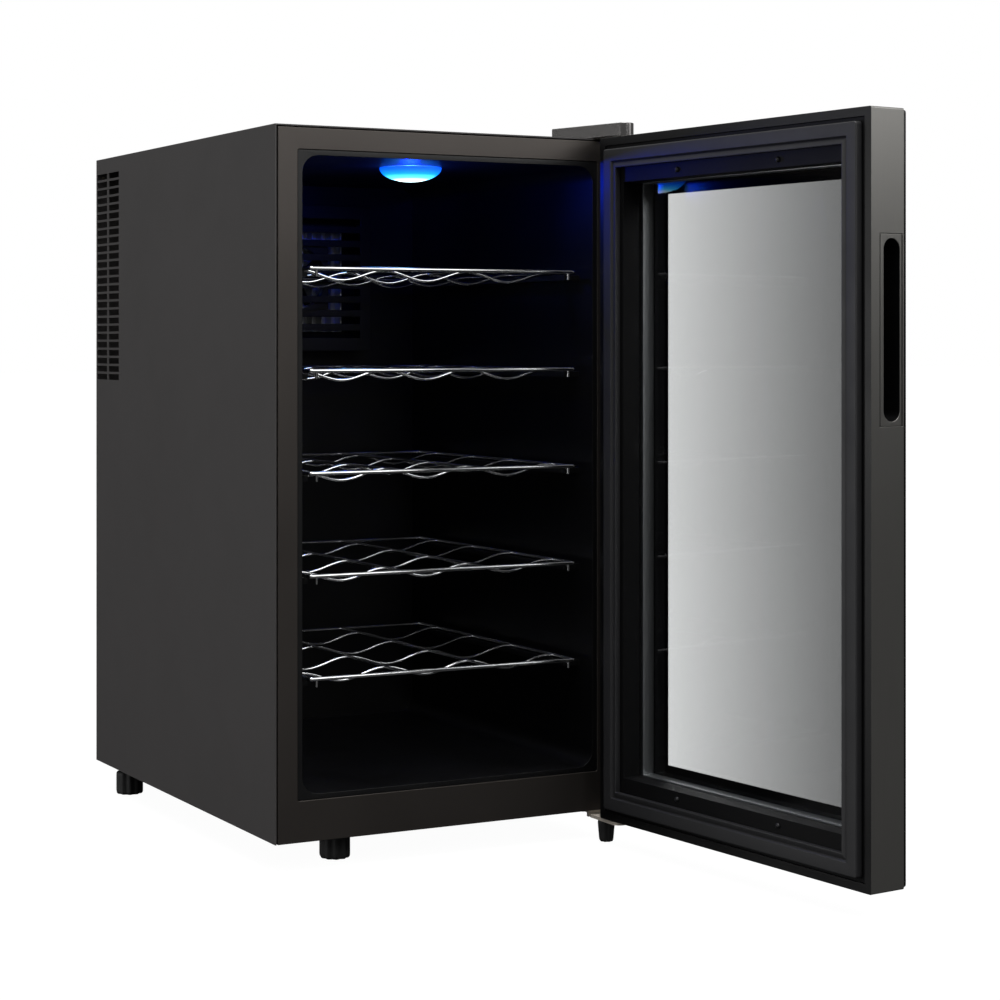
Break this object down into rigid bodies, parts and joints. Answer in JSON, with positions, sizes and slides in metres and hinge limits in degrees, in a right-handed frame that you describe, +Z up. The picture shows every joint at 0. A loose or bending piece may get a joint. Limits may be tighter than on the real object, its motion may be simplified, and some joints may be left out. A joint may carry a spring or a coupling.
{
  "type": "wine cooler",
  "caption": "Free-standing thermoelectric bottle cooler with a hinged glass door, five pull-out wire shelves, ceiling lamp and levelling feet.",
  "frame": {"origin": "middle of the cabinet's base panel, on its underside", "axes": "+X towards the hinge side, +Y towards the back, +Z up; the door stands open towards -Y"},
  "size_m": [0.3897, 0.824, 0.6616],
  "materials": {
    "painted_steel": "satin dark grey powder coat",
    "front_frame": "satin dark grey, slightly metallic",
    "black_abs": "black moulded plastic",
    "foam": "rigid polyurethane foam",
    "zinc_steel": "zinc-plated steel",
    "black_steel": "blackened steel",
    "aluminium": "bare aluminium",
    "ceramic": "white ceramic",
    "circuit_board": "green circuit board",
    "lamp_lens": "frosted lens, lit blue",
    "chrome_wire": "chrome-plated wire",
    "rubber": "black rubber",
    "satin_metal": "satin anodised grey aluminium",
    "glass": "clear toughened glass",
    "bordered_glass": "tinted glass with a black printed border",
    "gasket": "dark grey soft PVC gasket",
    "nylon": "white nylon"
  },
  "bodies": {
    "cabinet": {"outer_shell": "painted_steel", "front_frame": "front_frame", "inner_liner": "black_abs", "foam_insulation": "foam", "base_panel": "painted_steel", "rear_bulkhead": "zinc_steel", "rear_panel": "painted_steel", "rear_fan_guard": "black_abs", "cold_block": "aluminium", "peltier_module": "ceramic", "cold_side_heatsink": "aluminium", "hot_side_heatsink": "aluminium", "cold_fan_frame": "black_abs", "hot_fan_frame": "black_abs", "inner_fan_cover": "black_abs", "power_supply_case": "zinc_steel", "control_board": "circuit_board", "inlet_socket": "black_abs", "lamp_lens": "lamp_lens", "led_board": "ceramic", "top_hinge_bracket": "zinc_steel", "top_hinge_pin": "zinc_steel", "top_hinge_cover": "satin_metal", "bottom_hinge_bracket": "zinc_steel", "bottom_hinge_pin": "zinc_steel", "top_hinge_screw_1": "zinc_steel", "top_hinge_screw_2": "zinc_steel", "bottom_hinge_screw_1": "zinc_steel", "bottom_hinge_screw_2": "zinc_steel", "rear_screw_1": "zinc_steel", "rear_screw_2": "zinc_steel", "rear_screw_3": "zinc_steel", "rear_screw_4": "zinc_steel"},
    "door": {"door_frame": "satin_metal", "door_inner_frame": "black_abs", "inner_glass": "glass", "glass_spacer": "aluminium", "outer_glass": "bordered_glass", "door_gasket": "gasket", "handle_cup": "black_abs", "door_bush_top": "nylon", "door_bush_bottom": "nylon", "touch_board": "circuit_board", "rail_screw_1": "black_steel", "rail_screw_2": "black_steel", "rail_screw_3": "black_steel", "rail_screw_4": "black_steel"},
    "shelf_1": {"shelf_1": "chrome_wire"},
    "shelf_2": {"shelf_2": "chrome_wire"},
    "shelf_3": {"shelf_3": "chrome_wire"},
    "shelf_4": {"shelf_4": "chrome_wire"},
    "shelf_5": {"shelf_5": "chrome_wire"},
    "foot_front_left": {"foot_front_left": "rubber"},
    "foot_rear_left": {"foot_rear_left": "rubber"},
    "foot_rear_right": {"foot_rear_right": "rubber"},
    "foot_front_right": {"foot_front_right": "rubber"},
    "cold_fan": {"cold_fan_rotor": "black_abs"},
    "hot_fan": {"hot_fan_rotor": "black_abs"}
  },
  "joints": [
    {"name": "door_hinge", "type": "hinge", "parent": "cabinet", "child": "door", "pos_m": [0.165, -0.2545, 0], "axis": [0, 0, 1], "range_deg": [-95.5, 24.5]},
    {"name": "shelf_1_slide", "type": "slide", "parent": "cabinet", "child": "shelf_1", "axis": [0, -1, 0], "range_m": [0, 0.15]},
    {"name": "shelf_2_slide", "type": "slide", "parent": "cabinet", "child": "shelf_2", "axis": [0, -1, 0], "range_m": [0, 0.15]},
    {"name": "shelf_3_slide", "type": "slide", "parent": "cabinet", "child": "shelf_3", "axis": [0, -1, 0], "range_m": [0, 0.15]},
    {"name": "shelf_4_slide", "type": "slide", "parent": "cabinet", "child": "shelf_4", "axis": [0, -1, 0], "range_m": [0, 0.15]},
    {"name": "shelf_5_slide", "type": "slide", "parent": "cabinet", "child": "shelf_5", "axis": [0, -1, 0], "range_m": [0, 0.15]},
    {"name": "cold_fan_spin", "type": "hinge", "parent": "cabinet", "child": "cold_fan", "pos_m": [0, 0.11, 0.5], "axis": [0, 1, 0], "continuous": true},
    {"name": "hot_fan_spin", "type": "hinge", "parent": "cabinet", "child": "hot_fan", "pos_m": [0, 0.198, 0.5], "axis": [0, 1, 0], "continuous": true},
    {"name": "foot_front_left_turn", "type": "hinge", "parent": "cabinet", "child": "foot_front_left", "pos_m": [-0.097, -0.185, -0.015], "axis": [0, 0, 1], "continuous": true},
    {"name": "foot_rear_left_turn", "type": "hinge", "parent": "cabinet", "child": "foot_rear_left", "pos_m": [-0.158, 0.172, -0.015], "axis": [0, 0, 1], "continuous": true},
    {"name": "foot_rear_right_turn", "type": "hinge", "parent": "cabinet", "child": "foot_rear_right", "pos_m": [0.158, 0.172, -0.015], "axis": [0, 0, 1], "continuous": true},
    {"name": "foot_front_right_turn", "type": "hinge", "parent": "cabinet", "child": "foot_front_right", "pos_m": [0.154, -0.241, -0.015], "axis": [0, 0, 1], "continuous": true}
  ]
}
